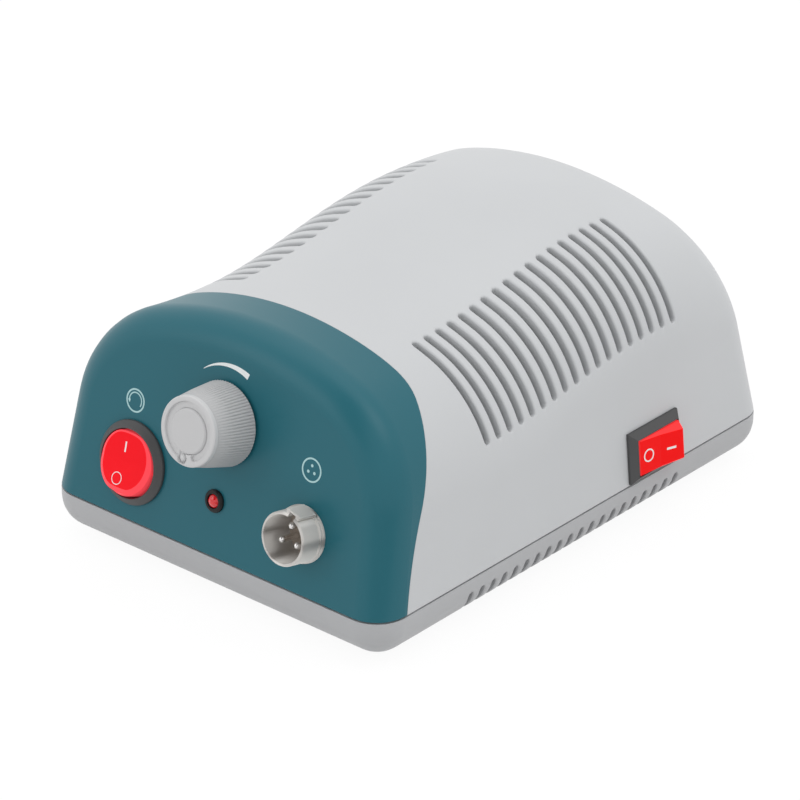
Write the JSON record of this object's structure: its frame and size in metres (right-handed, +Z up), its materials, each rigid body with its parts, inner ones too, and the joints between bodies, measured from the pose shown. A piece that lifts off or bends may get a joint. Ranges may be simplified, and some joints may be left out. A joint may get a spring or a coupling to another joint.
{
  "type": "laboratory micromotor control box",
  "caption": "Bench control box for a laboratory micromotor with an arched slotted cover, leaning panel, speed knob, two rocker switches and a round motor socket.",
  "frame": {"origin": "centre of the whole object's box, on the bench under its feet", "axes": "+Z up, -Y towards the user (control panel), +X to the side with the mains switch"},
  "size_m": [0.1252, 0.1765, 0.0812],
  "materials": {
    "tray_grey": "fine moulded texture",
    "cover_grey": "fine moulded texture",
    "panel_teal": "satin",
    "foot_rubber": "matte",
    "screw_steel": "zinc plated",
    "switch_black": "satin",
    "button_red": "gloss",
    "knob_grey": "satin",
    "cap_grey": "satin",
    "terminal_brass": "tinned",
    "bright_plate": "bright plated",
    "insert_brown": "moulded",
    "lens_red": "clear",
    "core_iron": "varnished",
    "coil_tape": "tape",
    "strap_steel": "plain",
    "board_green": "solder resist",
    "can_blue": "sleeved",
    "sink_aluminium": "extruded",
    "chip_black": "moulded",
    "header_ivory": "moulded",
    "inlet_black": "moulded"
  },
  "bodies": {
    "housing": {"tray": "tray_grey", "rubber_feet": "foot_rubber", "case_screws": "screw_steel", "main_cover": "cover_grey", "front_panel": "panel_teal", "mode_switch_body": "switch_black", "mode_switch_terminals": "terminal_brass", "power_switch_body": "switch_black", "power_switch_terminals": "terminal_brass", "pot_bushing": "bright_plate", "pot_washer": "screw_steel", "pot_nut": "screw_steel", "pot_body": "strap_steel", "pot_terminals": "terminal_brass", "led_bezel": "chip_black", "led_lamp": "lens_red", "socket_shell": "bright_plate", "socket_insert": "insert_brown", "socket_pins": "bright_plate", "socket_nut": "screw_steel", "transformer_core": "core_iron", "transformer_coil": "coil_tape", "transformer_frame": "strap_steel", "transformer_screws": "screw_steel", "circuit_board": "board_green", "board_screws": "screw_steel", "capacitors": "can_blue", "heatsink": "sink_aluminium", "power_transistor": "chip_black", "board_header": "header_ivory", "mains_inlet": "inlet_black", "inlet_pins": "bright_plate", "fuse_holder": "inlet_black", "fuse_cap": "inlet_black", "fuse_nut": "screw_steel", "fuse_link": "bright_plate"},
    "knob": {"speed_knob": "knob_grey", "knob_cap": "cap_grey", "pot_shaft": "bright_plate"},
    "mode_rocker": {"mode_button": "button_red"},
    "power_rocker": {"power_button": "button_red"}
  },
  "joints": [
    {"name": "speed_turn", "type": "hinge", "parent": "housing", "child": "knob", "pos_m": [-0.00235, -0.07977, 0.05205], "axis": [0, 0.9781, -0.2079], "range_deg": [0, 300]},
    {"name": "mode_rock", "type": "hinge", "parent": "housing", "child": "mode_rocker", "pos_m": [-0.03235, -0.07701, 0.03031], "axis": [1, 0, 0], "range_deg": [0, 21]},
    {"name": "power_rock", "type": "hinge", "parent": "housing", "child": "power_rocker", "pos_m": [0.05776, 0.03307, 0.0224], "axis": [-0.0958, 0, 0.9954], "range_deg": [0, 21]}
  ]
}
